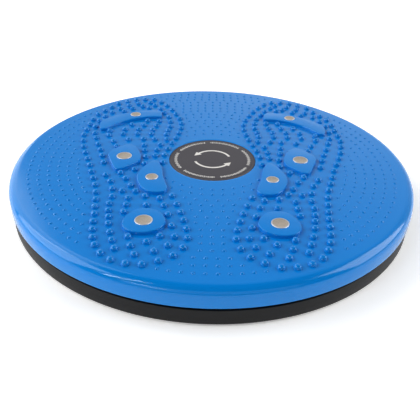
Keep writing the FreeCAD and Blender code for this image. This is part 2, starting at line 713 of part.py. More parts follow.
def make_nut(doc, size, level):
    """The locking nut: a hexagon with a round collar under it, bored for the bolt."""
    hexagon = add_prism(doc, "nut_hexagon", size, size.nut_height, level.nut_under)
    bore = size.bolt_radius + size.thread_clearance
    collar = add_cylinder(doc, "nut_collar", bore + size.nut_collar_wall,
                          size.nut_collar_height + size.nut_height / 2,
                          level.nut_under - size.nut_collar_height)
    blank = doc.addObject("Part::Fuse", "nut_blank")
    blank.Base = hexagon
    blank.Tool = collar
    thread = add_cylinder(doc, "nut_bore", bore, size.top_height, ZERO)
    nut = doc.addObject("Part::Cut", "lock_nut")
    nut.Base = blank
    nut.Tool = thread
    return [nut]


def make_washers(doc, size, level):
    """The washers under the bolt's head and above the nut."""
    washers = []
    for name, low in (("head_washer", level.top_web_upper), ("nut_washer", level.nut_upper)):
        high = low + size.washer_wall
        washers.append(turned_body(doc, name, [
            (level.bolt_hole, low),
            (size.washer_radius, low),
            (size.washer_radius, high),
            (level.bolt_hole, high),
        ]))
    return washers


def check_document(doc, nodes):
    """Stop where a feature failed or a node's shape is not a sound solid."""
    for item in doc.Objects:
        if "Invalid" in item.State or "Error" in item.State:
            raise RuntimeError(item.Label + " could not be built")
    for node in nodes:
        if node.Shape.isNull() or not node.Shape.isValid() or not node.Shape.Solids:
            raise RuntimeError(node.Label + " has no sound shape")


def write_parts(nodes):
    os.makedirs("parts", exist_ok=True)
    for node in nodes:
        node.Shape.exportStep("parts/" + node.Label + ".step")
        print(node.Label, "solids", len(node.Shape.Solids), "volume", round(node.Shape.Volume, 1))


def main():
    doc = FreeCAD.newDocument("waist_twisting_disc")
    size = Sheet(doc)
    level = Levels(size)
    nodes = []
    nodes += make_base_disc(doc, size, level)
    nodes += make_feet(doc, size, level)
    nodes += make_bush(doc, size, level)
    nodes += make_retainer(doc, size, level)
    nodes += make_balls(doc, size, level)
    nodes += make_top_disc(doc, size, level)
    nodes += make_label(doc, size, level)
    nodes += make_magnets(doc, size, level)
    nodes += make_bolt(doc, size, level)
    nodes += make_nut(doc, size, level)
    nodes += make_washers(doc, size, level)
    doc.recompute()
    check_document(doc, nodes)
    write_parts(nodes)


main()
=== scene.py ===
"""Waist twisting disc: the visible model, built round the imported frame.

The blue top turns on a ring of steel balls over a black base. The frame's origin is on the floor
under the centre, +Z is up and the toes point along +Y. Sizes are in millimetres until a mesh is
made, and every mesh is in metres.
"""

import logging
import math
from dataclasses import dataclass
from enum import Enum
from typing import Callable, Sequence

import bmesh
import bpy
from mathutils import Matrix, Vector


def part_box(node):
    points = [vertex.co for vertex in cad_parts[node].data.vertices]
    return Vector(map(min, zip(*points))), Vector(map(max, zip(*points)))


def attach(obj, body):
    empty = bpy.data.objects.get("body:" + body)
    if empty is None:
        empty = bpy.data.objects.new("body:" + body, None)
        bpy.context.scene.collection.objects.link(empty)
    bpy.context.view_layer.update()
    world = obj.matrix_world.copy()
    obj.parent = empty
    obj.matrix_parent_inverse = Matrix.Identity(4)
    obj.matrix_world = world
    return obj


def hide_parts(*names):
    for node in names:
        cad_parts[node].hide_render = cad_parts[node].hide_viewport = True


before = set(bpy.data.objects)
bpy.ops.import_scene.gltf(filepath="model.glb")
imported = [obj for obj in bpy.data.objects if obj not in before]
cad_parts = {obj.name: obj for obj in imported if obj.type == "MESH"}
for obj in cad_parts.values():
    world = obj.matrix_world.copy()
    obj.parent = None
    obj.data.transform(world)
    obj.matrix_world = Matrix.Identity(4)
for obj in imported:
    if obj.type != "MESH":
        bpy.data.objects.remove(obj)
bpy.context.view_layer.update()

MM = 0.001
FULL_TURN = 2 * math.pi
FEET = (1, -1)

# Points closer than the first are made one; points within the second lie on the same edge or face.
WELD = 0.001 * MM
CLOSE = 0.01 * MM

# What both halves share, in millimetres: radii of the race, its ball track, the hubs and the ribs.
RACE = (84.0, 96.0)
TRACK = (90.0, 12.5, 3.15)
HUB = 13.0
RIB_COUNT = 12
RIB_WALL = 2.0
RIB_BITE = 0.6
RIB_EDGE = 0.3

# How many sides the turned pieces have.
DISC_SEGMENTS = 216
LABEL_SEGMENTS = 128
FOOT_SEGMENTS = 64
MAGNET_SEGMENTS = 48
NUB_SEGMENTS = 12
FINE_NUB_SEGMENTS = 8

Place = tuple[float, float]
Ring = tuple[float, float]

log = logging.getLogger("twisting_disc")


class Body(Enum):
    """The bodies of the frame that a piece made here rides on."""

    BASE = "base"
    TOP = "top"


class Slot(Enum):
    """The record's material slots of the pieces made here."""

    BLUE_TOP = "blue_top"
    LABEL = "label"
    MAGNET = "magnet"
    BLACK_BASE = "black_base"
    FOOT_RUBBER = "foot_rubber"


def linear(hex_colour: str) -> tuple[float, float, float, float]:
    """Turns an sRGB hex colour to linear light.

    Args:
        hex_colour: six hex digits after a hash sign.

    Returns:
        Red, green, blue and full alpha.
    """
    levels = [int(hex_colour[i:i + 2], 16) / 255 for i in (1, 3, 5)]
    return (*(v / 12.92 if v <= 0.04045 else ((v + 0.055) / 1.055) ** 2.4 for v in levels), 1.0)


def add_node(tree: bpy.types.NodeTree, kind: str, settings: dict | None = None,
             feeds: dict | None = None) -> bpy.types.Node:
    """Adds one shader node.

    Args:
        tree: the material's or world's node tree.
        kind: the node's type.
        settings: properties of the node; "stops" are the positions and colours of a ramp.
        feeds: for each input, a value or the output that is linked to it.

    Returns:
        The new node.
    """
    node = tree.nodes.new(kind)
    for key, value in (settings or {}).items():
        if key != "stops":
            setattr(node, key, value)
            continue
        ramp = node.color_ramp
        while len(ramp.elements) < len(value):
            ramp.elements.new(1.0)
        for element, (position, colour) in zip(ramp.elements, value):
            element.position = position
            element.color = colour
    for key, value in (feeds or {}).items():
        if isinstance(value, bpy.types.NodeSocket):
            tree.links.new(value, node.inputs[key])
        else:
            node.inputs[key].default_value = value
    return node


def add_noise(place: bpy.types.NodeSocket, scale: float, detail: float,
              roughness: float) -> bpy.types.NodeSocket:
    """Adds cloudy noise.

    Args:
        place: where the noise is read.
        scale: how many blotches there are to a unit of the place.
        detail: how many finer layers it has.
        roughness: how strong the finer layers are.

    Returns:
        The height of the noise, from 0 to 1.
    """
    noise = add_node(place.id_data, "ShaderNodeTexNoise", feeds={
        "Vector": place, "Scale": scale, "Detail": detail, "Roughness": roughness})
    return noise.outputs["Fac"]


def grey(level: float) -> tuple[float, float, float, float]:
    """Gives an even grey in linear light."""
    return (level, level, level, 1.0)


# Finishes


@dataclass(frozen=True)
class Finish:
    """What every finish has: a name, and one pattern that breaks up both its gloss and its surface."""

    name: str

    def begin(self) -> tuple[bpy.types.Material, bpy.types.Node, bpy.types.NodeSocket]:
        """Makes an empty material.

        Returns:
            The material, its shader and the place on the object in metres.
        """
        material = bpy.data.materials.new(self.name)
        material.use_nodes = True
        place = add_node(material.node_tree, "ShaderNodeTexCoord").outputs["Object"]
        return material, material.node_tree.nodes["Principled BSDF"], place

    def tint(self, shader: bpy.types.Node, pattern: bpy.types.NodeSocket, low: str, high: str) -> None:
        """Lets a pattern blend two colours.

        Args:
            shader: the material's shader.
            pattern: the height of the pattern.
            low: the colour of its hollows.
            high: the colour of its crests.
        """
        colour = add_node(shader.id_data, "ShaderNodeMix", {"data_type": "RGBA"}, {
            "Factor": pattern, "A": linear(low), "B": linear(high)})
        shader.id_data.links.new(colour.outputs["Result"], shader.inputs["Base Color"])

    def roughen(self, shader: bpy.types.Node, pattern: bpy.types.NodeSocket, span: tuple[float, float],
                gloss: tuple[float, float], depth: float, strength: float) -> None:
        """Lets a pattern set the roughness and raise a fine relief.

        Args:
            shader: the material's shader.
            pattern: the height of the pattern.
            span: the heights at which the roughness is least and greatest.
            gloss: the least and the greatest roughness.
            depth: the depth of the relief in millimetres.
            strength: how strongly the relief shows.
        """
        tree = shader.id_data
        rough = add_node(tree, "ShaderNodeMapRange", feeds={
            "Value": pattern, "From Min": span[0], "From Max": span[1],
            "To Min": gloss[0], "To Max": gloss[1]})
        tree.links.new(rough.outputs["Result"], shader.inputs["Roughness"])
        bump = add_node(tree, "ShaderNodeBump", feeds={
            "Height": pattern, "Distance": depth * MM, "Strength": strength})
        tree.links.new(bump.outputs["Normal"], shader.inputs["Normal"])


@dataclass(frozen=True)
class MouldedPlastic(Finish):
    """Injection-moulded plastic: even colour with faint flow marks and a soft, uneven gloss."""

    colour: str
    second_colour: str
    gloss: tuple[float, float]
    refraction: float = 1.49
    flow_mm: float = 45.0
    skin_mm: float = 1.6
    skin_depth: float = 0.02

    def make(self) -> bpy.types.Material:
        """Makes the material.

        Returns:
            The procedural material.
        """
        material, shader, place = self.begin()
        shader.inputs["IOR"].default_value = self.refraction
        # Flow marks: the melt cools in broad, hardly visible clouds.
        flow = add_noise(place, 1 / (self.flow_mm * MM), 2.0, 0.5)
        self.tint(shader, flow, self.colour, self.second_colour)
        # The skin of the tool: soft dimples that break up the reflections.
        skin = add_noise(place, 1 / (self.skin_mm * MM), 3.0, 0.6)
        self.roughen(shader, skin, (0.3, 0.7), self.gloss, self.skin_depth, 0.6)
        return material


@dataclass(frozen=True)
class Rubber(Finish):
    """Vulcanised rubber: dark and dull, with fine dust in its grain."""

    colour: str
    dust_colour: str
    gloss: tuple[float, float] = (0.7, 0.95)
    refraction: float = 1.52
    grain_mm: float = 0.8
    grain_depth: float = 0.05

    def make(self) -> bpy.types.Material:
        """Makes the material.

        Returns:
            The procedural material.
        """
        material, shader, place = self.begin()
        shader.inputs["IOR"].default_value = self.refraction
        grain = add_noise(place, 1 / (self.grain_mm * MM), 4.0, 0.7)
        # Dust lies on the crests of the grain alone.
        dust = add_node(material.node_tree, "ShaderNodeValToRGB", {
            "stops": [(0.45, linear(self.colour)), (0.8, linear(self.dust_colour))]}, {"Fac": grain})
        material.node_tree.links.new(dust.outputs["Color"], shader.inputs["Base Color"])
        self.roughen(shader, grain, (0.0, 1.0), self.gloss, self.grain_depth, 0.7)
        return material


@dataclass(frozen=True)
class Metal(Finish):
    """Bare or plated metal: small stretched scratches give the grain of its last working."""

    colour: str
    worn_colour: str
    gloss: tuple[float, float]
    metallic: float = 1.0
    grain_mm: tuple[float, float, float] = (0.25, 0.25, 0.25)
    grain_depth: float = 0.01

    def make(self) -> bpy.types.Material:
        """Makes the material.

        Returns:
            The procedural material.
        """
        material, shader, place = self.begin()
        shader.inputs["Metallic"].default_value = self.metallic
        stretched = add_node(material.node_tree, "ShaderNodeMapping", feeds={
            "Vector": place, "Scale": tuple(1 / (length * MM) for length in self.grain_mm)})
        grain = add_noise(stretched.outputs["Vector"], 1.0, 3.0, 0.6)
        self.tint(shader, grain, self.colour, self.worn_colour)
        self.roughen(shader, grain, (0.3, 0.7), self.gloss, self.grain_depth, 0.5)
        return material


# Polished ABS: a saturated blue under a soft gloss that picks up the studio's lights.
BLUE_ABS = MouldedPlastic("moulded_abs_blue", "#0386d4", "#0589d8", (0.11, 0.16), 1.47,
                          skin_mm=6.0, skin_depth=0.012)
# Black polypropylene from a blasted tool: a dark satin that greys where it is seen at a slant.
BLACK_PP = MouldedPlastic("moulded_pp_black", "#0f0f11", "#151517", (0.38, 0.5), 1.44, skin_mm=1.0,
                          skin_depth=0.01)
# Printed polycarbonate film: a dark warm grey with a close, even sheen.
LABEL_FILM = MouldedPlastic("printed_pc_film_grey", "#4c4a50", "#525056", (0.38, 0.46), 1.45,
                            flow_mm=20.0, skin_mm=0.6, skin_depth=0.01)
# Screen-print ink: off-white and dull, with a slightly broken coat.
LABEL_INK = MouldedPlastic("screen_print_ink_white", "#d9d7d3", "#e8e6e2", (0.5, 0.65), 1.5,
                           flow_mm=4.0, skin_mm=0.5, skin_depth=0.01)
# Natural nylon: milky and waxy.
NYLON = MouldedPlastic("moulded_nylon_natural", "#dcd8c9", "#e6e2d5", (0.4, 0.5), 1.53)
# Acetal: close and milky, a little harder in its shine than nylon.
ACETAL = MouldedPlastic("turned_acetal_ivory", "#d6d1bf", "#e0dccb", (0.35, 0.45), 1.48)
# Natural rubber: dull and nearly black.
FOOT_RUBBER = Rubber("moulded_rubber_black", "#141414", "#3c3a37")
# Bare sintered magnet: a warm pale grey face with the fine grain of its powder.
MAGNET_FACE = Metal("sintered_magnet_face", "#948b80", "#cdc4b8", (0.45, 0.6), metallic=0.25,
                    grain_mm=(0.9, 0.9, 0.9))
# Ground edge of a magnet: brighter than the face, partly for its ground metal and partly as a painted
# highlight of the light its chamfer catches.
MAGNET_EDGE_AND_HIGHLIGHT = Metal("ground_magnet_edge_and_painted_highlight", "#b6b8bd", "#d6d7da", (0.3, 0.42), metallic=0.45,
                    grain_mm=(1.5, 1.5, 1.5))
# Chrome steel of a bearing ball: lapped to a mirror.
BALL_STEEL = Metal("lapped_chrome_steel", "#c3c5c8", "#cfd1d3", (0.06, 0.12))
# Zinc-plated steel: a cool bright plating with a fine drawn grain.
ZINC_STEEL = Metal("zinc_plated_steel", "#b4b8bd", "#c6c9cc", (0.25, 0.4), grain_mm=(0.6, 0.6, 0.12))


# Modelling


def clear_selection() -> None:
    """Deselects every object, so that an operator acts on what it is given alone."""
    for item in bpy.context.selected_objects:
        item.select_set(False)


def activate(piece: bpy.types.Object) -> None:
    """Selects one piece alone and makes it active.

    Args:
        piece: the piece that the next operator acts on.
    """
    clear_selection()
    piece.select_set(True)
    bpy.context.view_layer.objects.active = piece


def settle(piece: bpy.types.Object) -> None:
    """Moves a piece's place, turn and scale into its mesh."""
    activate(piece)
    bpy.ops.object.transform_apply(location=True, rotation=True, scale=True)


def joined(pieces: Sequence[bpy.types.Object], name: str) -> bpy.types.Object:
    """Joins pieces to one.

    Args:
        pieces: the pieces, of which the first stays.
        name: the name of the joined piece.

    Returns:
        The joined piece, with its place in its mesh.
    """
    clear_selection()
    for piece in pieces:
        piece.select_set(True)
    bpy.context.view_layer.objects.active = pieces[0]
    bpy.ops.object.join()
    pieces[0].name = name
    settle(pieces[0])
    return pieces[0]


def turned(name: str, rings: Sequence[Ring], segments: int, closed: bool = False) -> bpy.types.Object:
    """Draws a circle out ring by ring, as a lathe turns a profile.

    Args:
        name: the name of the piece.
        rings: radius and height of each ring, in millimetres; a radius of zero closes the end.
        segments: how many sides each ring has.
        closed: whether the last ring joins the first; both are given, at the same place.

    Returns:
        The turned piece with its normals outwards.
    """
    clear_selection()
    radius, height = rings[0]
    bpy.ops.mesh.primitive_circle_add(vertices=segments, radius=radius * MM,
                                      location=(0, 0, height * MM))
    piece = bpy.context.object
    piece.name = name
    settle(piece)
    bpy.ops.object.mode_set(mode="EDIT")
    bpy.ops.mesh.select_mode(type="EDGE")
    bpy.ops.mesh.select_all(action="SELECT")
    for after_radius, after_height in rings[1:]:
        rise = (0, 0, (after_height - height) * MM)
        bpy.ops.mesh.extrude_region_move(TRANSFORM_OT_translate={"value": rise})
        if after_radius == 0:
            bpy.ops.mesh.merge(type="CENTER")
            break
        share = after_radius / radius
        bpy.ops.transform.resize(value=(share, share, 1), center_override=(0, 0, after_height * MM))
        radius, height = after_radius, after_height
    bpy.ops.mesh.select_all(action="SELECT")
    if closed:
        bpy.ops.mesh.remove_doubles(threshold=WELD)
    else:
        bpy.ops.mesh.select_all(action="DESELECT")
        bpy.ops.mesh.select_non_manifold(extend=False)
        bpy.ops.mesh.fill()
        bpy.ops.mesh.select_all(action="SELECT")
    bpy.ops.mesh.normals_make_consistent(inside=False)
    bpy.ops.object.mode_set(mode="OBJECT")
    return piece


def select_edges(piece: bpy.types.Object, wanted: Callable[[bmesh.types.BMEdge], bool]) -> int:
    """Selects the edges of a piece in edit mode that pass a test, and nothing else.

    Args:
        piece: the piece, in edit mode.
        wanted: the test on an edge.

    Returns:
        How many edges were selected.
    """
    mesh = bmesh.from_edit_mesh(piece.data)
    bpy.ops.mesh.select_mode(type="EDGE")
    for item in (*mesh.faces, *mesh.verts, *mesh.edges):
        item.select_set(False)
    chosen = [edge for edge in mesh.edges if wanted(edge)]
    for edge in chosen:
        edge.select_set(True)
    bmesh.update_edit_mesh(piece.data)
    return len(chosen)


def round_ring(piece: bpy.types.Object, radius: float, height: float, width: float,
               segments: int) -> None:
    """Rounds the edge that runs round a turned piece at one ring.

    Args:
        piece: the turned piece.
        radius: the radius of the ring, in millimetres.
        height: the height of the ring.
        width: the radius of the rounding.
        segments: how many facets the rounding has.
    """

    def on_ring(edge: bmesh.types.BMEdge) -> bool:
        """Tells whether both ends of an edge lie on the ring."""
        return all(abs(vert.co.z - height * MM) < CLOSE
                   and abs(vert.co.xy.length - radius * MM) < CLOSE for vert in edge.verts)

    activate(piece)
    bpy.ops.object.mode_set(mode="EDIT")
    if select_edges(piece, on_ring):
        bpy.ops.mesh.bevel(offset=width * MM, segments=segments, affect="EDGES", clamp_overlap=False)
    bpy.ops.object.mode_set(mode="OBJECT")


def smooth(piece: bpy.types.Object, degrees: float = 32.0) -> None:
    """Shades a piece smooth, apart from edges sharper than an angle."""
    activate(piece)
    bpy.ops.object.shade_smooth_by_angle(angle=math.radians(degrees))


def scattered(model: bpy.types.Object, places: Sequence[Place], height: float,
              name: str) -> bpy.types.Object:
    """Stands a copy of a model at each place, joins the copies and removes the model.

    Args:
        model: the piece that is copied, at the origin.
        places: the places in the plane, in millimetres.
        height: the height of each copy's origin.
        name: the name of the joined piece.

    Returns:
        The joined copies.
    """
    copies = []
    for x, y in places:
        copy = model.copy()
        copy.data = model.data.copy()
        copy.location = (x * MM, y * MM, height * MM)
        bpy.context.scene.collection.objects.link(copy)
        copies.append(copy)
    bpy.data.objects.remove(model)
    return joined(copies, name)


def cut(piece: bpy.types.Object, cutter: bpy.types.Object) -> None:
    """Takes the space of a cutter out of a piece.

    Args:
        piece: the piece that is cut.
        cutter: the closed body that is taken away, which stays in the scene.
    """
    activate(piece)
    modifier = piece.modifiers.new("cut", "BOOLEAN")
    modifier.operation = "DIFFERENCE"
    modifier.solver = "EXACT"
    modifier.object = cutter
    bpy.ops.object.modifier_apply(modifier=modifier.name)


def bar(name: str, size: tuple[float, float, float], centre: tuple[float, float, float],
        turn: float, edge: float) -> bpy.types.Object:
    """Makes a straight bar with softened edges, turned about the vertical axis of the disc.

    Args:
        name: the name of the bar.
        size: its length outwards, width and height, in millimetres.
        centre: its middle before the turn.
        turn: the turn in radians.
        edge: the bevel of its edges.

    Returns:
        The bar with its place in its mesh.
    """
    clear_selection()
    bpy.ops.mesh.primitive_cube_add(size=1, location=[value * MM for value in centre])
    piece = bpy.context.object
    piece.name = name
    piece.scale = [value * MM for value in size]
    settle(piece)
    bpy.ops.object.mode_set(mode="EDIT")
    bpy.ops.mesh.select_all(action="SELECT")
    bpy.ops.mesh.bevel(offset=edge * MM, segments=1, affect="EDGES")
    bpy.ops.object.mode_set(mode="OBJECT")
    piece.data.transform(Matrix.Rotation(turn, 4, "Z"))
    return piece


def dress(piece: bpy.types.Object, *materials: bpy.types.Material) -> None:
    """Gives a piece its materials in place of those it has.

    Args:
        piece: the piece or carried node.
        materials: its materials in the order of its faces' numbers.
    """
    piece.data.materials.clear()
    for material in materials:
        piece.data.materials.append(material)


def place_on(piece: bpy.types.Object, body: Body, slot: Slot, *nodes: str) -> None:
    """Lets a finished piece ride on a body in place of the nodes that it stands for.

    Args:
        piece: the finished piece.
        body: the body that carries it.
        slot: the record's material slot of its finish; it is not used.
        nodes: the nodes of the frame that it replaces.
    """
    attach(piece, body.value)
    if nodes:
        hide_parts(*nodes)
    faces = len(piece.data.polygons)
    log.info("%s rides on %s with %d faces", piece.name, body.value, faces)


def radial_ribs(start: float, stop: float, low: float, high: float) -> list[bpy.types.Object]:
    """Makes a round of upright ribs that bite a little into the walls they run between.

    Args:
        start: the radius of the inner wall, in millimetres.
        stop: the radius of the outer wall.
        low: the height of the ribs' lower edge.
        high: the height of their upper edge.

    Returns:
        The ribs.
    """
    size = (stop - start + 2 * RIB_BITE, RIB_WALL, high - low)
    centre = ((start + stop) / 2, 0.0, (low + high) / 2)
    turns = [FULL_TURN * index / RIB_COUNT for index in range(RIB_COUNT)]
    return [bar("rib", size, centre, turn, RIB_EDGE) for turn in turns]


def track_rings(track: tuple[float, float, float], face: float, steps: int = 10) -> list[Ring]:
    """Gives the rings of a ball track in the face of a race, from the outside inwards.

    Args:
        track: radius and height of the balls' path, and the radius of the track.
        face: the height of the race's face, above the path in the top and below it in the base.
        steps: how many facets the track has.

    Returns:
        Radius and height of each ring.
    """
    centre, height, radius = track
    start = math.asin(abs(face - height) / radius)
    upwards = math.copysign(1.0, face - height)
    turns = [start + (math.pi - 2 * start) * index / steps for index in range(steps + 1)]
    return [(centre + radius * math.cos(turn), height + upwards * radius * math.sin(turn))
            for turn in turns]


def circle_places(radius: float, count: int, start: float) -> list[Place]:
    """Gives evenly spaced places on a circle."""
    turns = [start + FULL_TURN * index / count for index in range(count)]
    return [(radius * math.cos(turn), radius * math.sin(turn)) for turn in turns]


# Poles of the pads' smooth outlines on the right foot, in millimetres, anticlockwise.
PAD_POLES = {
    "toe": [(37.0, 60.4), (44.0, 61.4), (53.0, 59.0), (61.5, 54.0), (69.6, 47.0), (75.8, 36.8),
            (79.8, 37.8), (80.4, 44.4), (81.4, 51.0), (76.0, 57.8), (67.5, 64.8), (58.0, 69.8),
            (48.0, 72.7), (39.4, 73.6), (38.0, 67.5)],
    "ball": [(45.0, -8.4), (50.5, -13.2), (57.0, -20.6), (60.8, -18.4), (63.4, -9.5),
             (68.3, 0.5), (64.5, 8.0), (55.5, 17.4), (49.5, 11.0), (45.6, 0.5)],
    "arch": [(30.4, -17.0), (30.3, -24.0), (27.6, -34.0), (24.5, -43.0), (32.0, -46.4),
             (39.6, -43.6), (43.8, -35.0), (46.0, -26.0), (43.25, -17.0), (39.0, -7.75),
             (34.75, -6.0), (32.9, -11.25)],
    "heel": [(24.9, -69.6), (23.6, -76.6), (28.6, -83.6), (38.4, -85.6), (46.6, -81.6),
             (47.4, -73.0), (43.4, -64.6), (36.6, -61.2), (29.0, -63.4)],
}

# The outline of the right foot through its outermost nubs, in millimetres.
FOOT_OUTLINE = [
    (35.6, 86.1), (40.6, 93.0), (46.8, 98.0), (54.0, 97.8), (67.3, 92.4), (77.6, 79.9), (85.4, 65.9),
    (88.5, 47.3), (88.8, 29.9), (85.3, 12.1), (76.1, -12.9), (68.4, -36.6), (64.1, -59.8),
    (62.4, -74.0), (60.0, -87.8), (53.9, -100.4), (40.8, -107.8), (32.9, -108.3), (18.8, -101.0),
    (12.4, -86.8), (15.0, -71.0), (22.9, -46.8), (28.5, -30.0), (30.4, -16.0), (31.4, -7.1),
    (29.5, 11.8), (25.0, 28.5), (22.5, 44.6), (24.3, 61.4), (31.0, 78.0),
]

# Profiles of the two kinds of nubs: radius and height above the plate, from the foot to the crown.
MASSAGE_NUB = [(2.15, -0.15), (2.05, 0.3), (1.92, 0.95), (1.58, 1.56), (1.0, 1.94), (0.0, 2.1)]
FINE_NUB = [(1.12, -0.08), (0.88, 0.2), (0.5, 0.44), (0.0, 0.54)]

# Rings of fine nubs: radius in millimetres, how many, and the share of a step from the centre line.
FINE_RINGS = [
    (113.5, 124, 0.5), (107.7, 116, 0.5), (101.9, 108, 0.5), (96.1, 102, 0.0), (90.3, 98, 0.0),
    (84.5, 92, 0.0), (78.7, 86, 0.0), (72.9, 78, 0.5), (67.1, 74, 0.5), (61.0, 66, 0.0),
    (55.3, 56, 0.0), (50.0, 50, 0.5), (43.9, 44, 0.0), (38.0, 38, 0.0),
]


def inside(place: Place, outline: Sequence[Place]) -> bool:
    """Tells whether a place lies inside a closed outline.

    Args:
        place: the place in the plane.
        outline: the corners of the outline in order.

    Returns:
        True where a line outwards crosses the outline an odd number of times.
    """
    x, y = place
    crossings = 0
    for (x_one, y_one), (x_two, y_two) in zip(outline, [*outline[1:], outline[0]]):
        if (y_one > y) != (y_two > y) and x < x_one + (x_two - x_one) * (y - y_one) / (y_two - y_one):
            crossings += 1
    return crossings % 2 == 1


@dataclass
class TopDisc:
    """The blue moulded top: shell, ribs, pads with magnet sockets, massage nubs and fine nubs."""

    radius: float = 125.0
    face: float = 23.0
    plate_under: float = 20.0
    skirt_bottom: float = 11.8
    skirt_inner: float = 122.2
    rim_round: float = 5.0
    recess: Ring = (27.65, 22.0)
    race: tuple[float, float] = RACE
    race_face: float = 13.8
    hub: float = HUB
    hub_under: float = 12.9
    pocket: Ring = (8.0, 15.9)
    bore: float = 3.1
    rib_depths: tuple[float, float] = (5.5, 3.6)
    rib_sink: float = 0.05
    pad_height: float = 2.0
    pad_round: float = 0.45
    pad_sink: float = 0.4
    socket_room: float = 0.12
    socket_depth: float = 2.8
    socket_chamfer: tuple[float, float] = (0.25, 0.15)
    fine_gap: float = 5.2

    def build_shell(self) -> bpy.types.Object:
        """Turns the plate with its skirt, race and hub.

        Returns:
            The shell.
        """
        mouth = (self.recess[0], self.face)
        # The two rings beside the rounded edges keep the shading of the flat face even.
        rings = [
            mouth,
            (self.recess[0] + 1.5, self.face),
            (self.radius - self.rim_round - 0.6, self.face),
            (self.radius, self.face),
            (self.radius, self.skirt_bottom),
            (self.skirt_inner, self.skirt_bottom),
            (self.skirt_inner, self.plate_under),
            (self.race[1], self.plate_under),
            (self.race[1], self.race_face),
            *track_rings(TRACK, self.race_face),
            (self.race[0], self.race_face),
            (self.race[0], self.plate_under),
            (self.hub, self.plate_under),
            (self.hub, self.hub_under),
            (self.bore, self.hub_under),
            (self.bore, self.pocket[1]),
            (self.pocket[0], self.pocket[1]),
            (self.pocket[0], self.recess[1]),
            self.recess,
            mouth,
        ]
        shell = turned("top_shell", rings, DISC_SEGMENTS, closed=True)
        # Radius, height, rounding and facets of each moulded edge.
        for edge in ((self.radius, self.face, self.rim_round, 12),
                     (self.radius, self.skirt_bottom, 0.5, 3),
                     (self.skirt_inner, self.skirt_bottom, 0.4, 2),
                     (self.skirt_inner, self.plate_under, 2.0, 4),
                     (*mouth, 0.35, 3)):
            round_ring(shell, *edge)
        return shell

    def build_ribs(self) -> list[bpy.types.Object]:
        """Makes the radial ribs under the plate, inside and outside the race.

        Returns:
            The ribs.
        """
        high = self.plate_under + self.rib_sink
        inner, outer = (high - depth for depth in self.rib_depths)
        return [*radial_ribs(self.hub, self.race[0], inner, high),
                *radial_ribs(self.race[1], self.skirt_inner, outer, high)]

    def build_pad(self, poles: Sequence[Place], side: int) -> bpy.types.Object:
        """Raises one pad from its outline and rounds its crest.

        Args:
            poles: the poles of the outline on the right foot.
            side: 1 for the right foot and -1 for the left.

        Returns:
            The pad, which reaches a little into the plate.
        """
        curve = bpy.data.curves.new("pad", "CURVE")
        curve.dimensions = "3D"
        spline = curve.splines.new("NURBS")
        spline.points.add(len(poles) - 1)
        for point, (x, y) in zip(spline.points, poles):
            point.co = (side * x * MM, y * MM, (self.face - self.pad_sink) * MM, 1.0)
        spline.use_cyclic_u = True
        spline.order_u = 4
        spline.resolution_u = 6
        pad = bpy.data.objects.new("pad", curve)
        bpy.context.scene.collection.objects.link(pad)
        activate(pad)
        bpy.ops.object.convert(target="MESH")
        pad = bpy.context.object
        bpy.ops.object.mode_set(mode="EDIT")
        bpy.ops.mesh.select_all(action="SELECT")
        bpy.ops.mesh.remove_doubles(threshold=WELD)
        bpy.ops.mesh.edge_face_add()
        rise = (0, 0, (self.pad_height + self.pad_sink) * MM)
        bpy.ops.mesh.extrude_region_move(TRANSFORM_OT_translate={"value": rise})
        crest = (self.face + self.pad_height) * MM
        select_edges(pad, lambda edge: all(vert.co.z > crest - CLOSE for vert in edge.verts))
        bpy.ops.mesh.bevel(offset=self.pad_round * MM, segments=5, affect="EDGES")
        bpy.ops.mesh.select_all(action="SELECT")
        bpy.ops.mesh.normals_make_consistent(inside=False)
        bpy.ops.object.mode_set(mode="OBJECT")
        return pad

    def build_sockets(self) -> bpy.types.Object:
        """Makes the cutters of the magnet sockets, with a small chamfer at each mouth.

        Returns:
            The joined cutters.
        """
        crest = self.face + self.pad_height
        cutters = []
        for magnet in MAGNETS:
            wall = magnet.radius + self.socket_room
            below, above = self.socket_chamfer
            rings = [(wall, crest - self.socket_depth), (wall, crest - below),
                     (wall + below + above, crest + above), (wall + below + above, crest + 1.0)]
            cutter = turned("socket", rings, MAGNET_SEGMENTS)
            cutter.location = (magnet.x * MM, magnet.y * MM, 0)
            settle(cutter)
            cutters.append(cutter)
        return joined(cutters, "sockets")

    def nub_places(self) -> list[Place]:
        """Reads the middles of the massage nubs from the crowns of the frame's top.

        Returns:
            The places in millimetres.
        """
        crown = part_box("top_disc")[1].z
        points = [vert.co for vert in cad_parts["top_disc"].data.vertices]
        found = {(round(p.x / MM, 2), round(p.y / MM, 2)) for p in points if crown - p.z < 2 * CLOSE}
        return sorted(found)

    def fine_places(self, nubs: Sequence[Place]) -> list[Place]:
        """Lays the fine nubs out on circles, apart from the feet and the label's margin.

        Args:
            nubs: the middles of the massage nubs.

        Returns:
            The places in millimetres.
        """
        places = []
        for radius, count, offset in FINE_RINGS:
            for place in circle_places(radius, count, FULL_TURN * (offset / count - 0.25)):
                mirrored = (abs(place[0]), place[1])
                near = min(math.dist(place, nub) for nub in nubs)
                if near > self.fine_gap and not inside(mirrored, FOOT_OUTLINE):
                    places.append(place)
        return places

    def build_nubs(self) -> list[bpy.types.Object]:
        """Stands the massage nubs and the fine nubs on the plate.

        Returns:
            Both fields of nubs.
        """
        nubs = self.nub_places()
        fine = self.fine_places(nubs)
        dome = turned("nub", MASSAGE_NUB, NUB_SEGMENTS)
        bead = turned("fine_nub", FINE_NUB, FINE_NUB_SEGMENTS)
        fields = [scattered(dome, nubs, self.face, "massage_nubs"),
                  scattered(bead, fine, self.face, "fine_nubs")]
        log.info("%d massage nubs and %d fine nubs", len(nubs), len(fine))
        return fields

